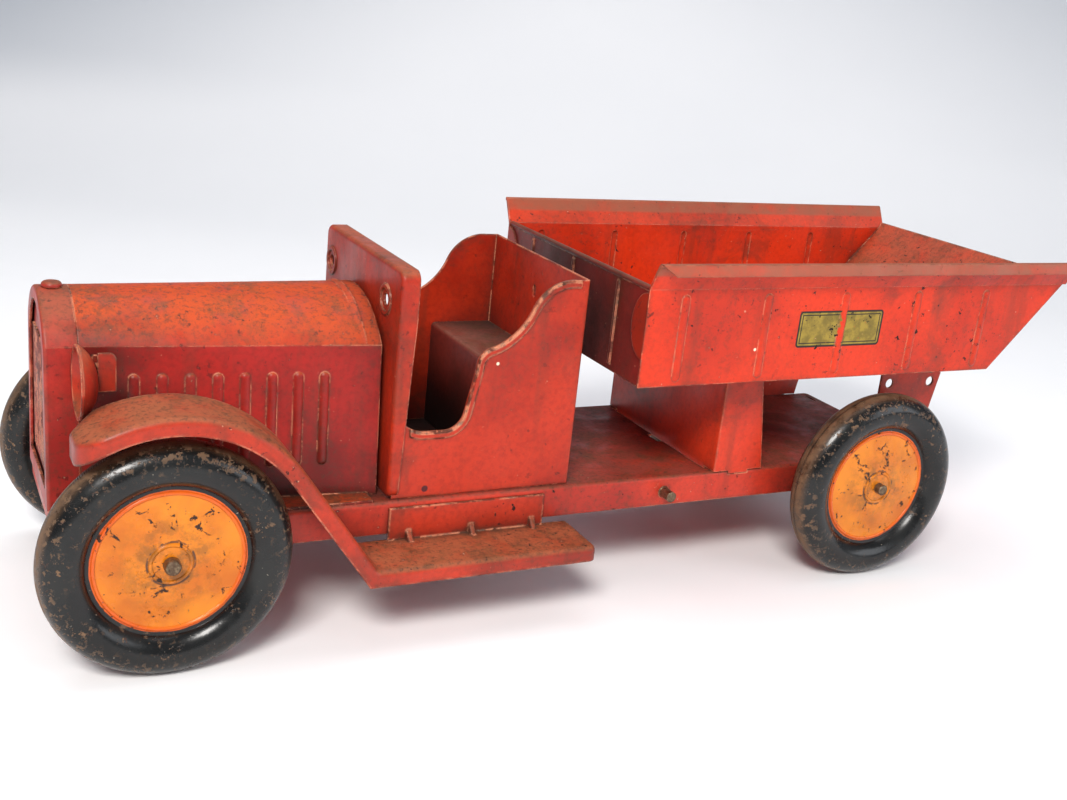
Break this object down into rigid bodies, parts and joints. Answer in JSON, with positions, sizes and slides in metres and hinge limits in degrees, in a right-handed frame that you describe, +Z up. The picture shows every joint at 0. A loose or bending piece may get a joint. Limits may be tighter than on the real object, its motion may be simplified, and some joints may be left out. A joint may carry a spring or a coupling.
{
  "type": "toy dump truck",
  "caption": "Antique pressed-steel toy dump truck with open cab, ribbed hood, disc wheels that roll and a dump bed that tilts on a rear hinge.",
  "frame": {"origin": "on the floor under the middle of the truck's length and width", "axes": "+X towards the front of the truck, +Y towards its left side, +Z up"},
  "size_m": [0.4701, 0.151, 0.1533],
  "materials": {
    "red_enamel": "worn semi-gloss enamel",
    "bed_enamel": "worn semi-gloss enamel",
    "black_enamel": "chipped gloss enamel, orange on the disc",
    "bare_steel": "browned bare steel"
  },
  "bodies": {
    "truck": {"chassis_frame": "red_enamel", "hood": "red_enamel", "radiator_shell": "red_enamel", "radiator_core": "red_enamel", "radiator_cap": "red_enamel", "dash_panel": "red_enamel", "cab_body": "red_enamel", "cab_seat": "red_enamel", "headlight_left": "red_enamel", "headlight_right": "red_enamel", "headlight_strap_left": "red_enamel", "headlight_strap_right": "red_enamel", "headlight_rivets": "red_enamel", "fender_running_board_left": "red_enamel", "fender_running_board_right": "red_enamel", "front_axle": "bare_steel", "front_axle_spacers": "bare_steel", "front_hub_nut_left": "bare_steel", "front_hub_nut_right": "bare_steel", "bed_pedestal": "red_enamel", "rear_bracket_left": "red_enamel", "rear_bracket_right": "red_enamel", "bed_hinge_rod": "bare_steel"},
    "front_left_wheel": {"wheel_front_left_outer_shell": "black_enamel", "wheel_front_left_inner_shell": "black_enamel", "wheel_front_left_hub": "bare_steel"},
    "front_right_wheel": {"wheel_front_right_outer_shell": "black_enamel", "wheel_front_right_inner_shell": "black_enamel", "wheel_front_right_hub": "bare_steel"},
    "rear_wheelset": {"rear_axle": "bare_steel", "rear_axle_spacers": "bare_steel", "wheel_rear_left_outer_shell": "black_enamel", "wheel_rear_left_inner_shell": "black_enamel", "wheel_rear_left_hub": "bare_steel", "wheel_rear_right_outer_shell": "black_enamel", "wheel_rear_right_inner_shell": "black_enamel", "wheel_rear_right_hub": "bare_steel"},
    "dump_bed": {"bed_body": "bed_enamel", "bed_front_wall": "bed_enamel", "bed_hinge_strap": "bed_enamel"},
    "lift_cross_shaft": {"lift_shaft": "bare_steel", "lift_shaft_collars": "bare_steel"}
  },
  "joints": [
    {"name": "front_left_wheel_spin", "type": "hinge", "parent": "truck", "child": "front_left_wheel", "pos_m": [0.19, 0.0645, 0.045], "axis": [0, 1, 0], "continuous": true},
    {"name": "front_right_wheel_spin", "type": "hinge", "parent": "truck", "child": "front_right_wheel", "pos_m": [0.19, -0.0645, 0.045], "axis": [0, 1, 0], "continuous": true},
    {"name": "rear_axle_spin", "type": "hinge", "parent": "truck", "child": "rear_wheelset", "pos_m": [-0.136, 0, 0.045], "axis": [0, 1, 0], "continuous": true},
    {"name": "bed_tilt", "type": "hinge", "parent": "truck", "child": "dump_bed", "pos_m": [-0.176, 0, 0.096], "axis": [0, -1, 0], "range_deg": [0, 45]},
    {"name": "lift_shaft_spin", "type": "hinge", "parent": "truck", "child": "lift_cross_shaft", "pos_m": [-0.03, 0, 0.0438], "axis": [0, 1, 0], "continuous": true}
  ]
}
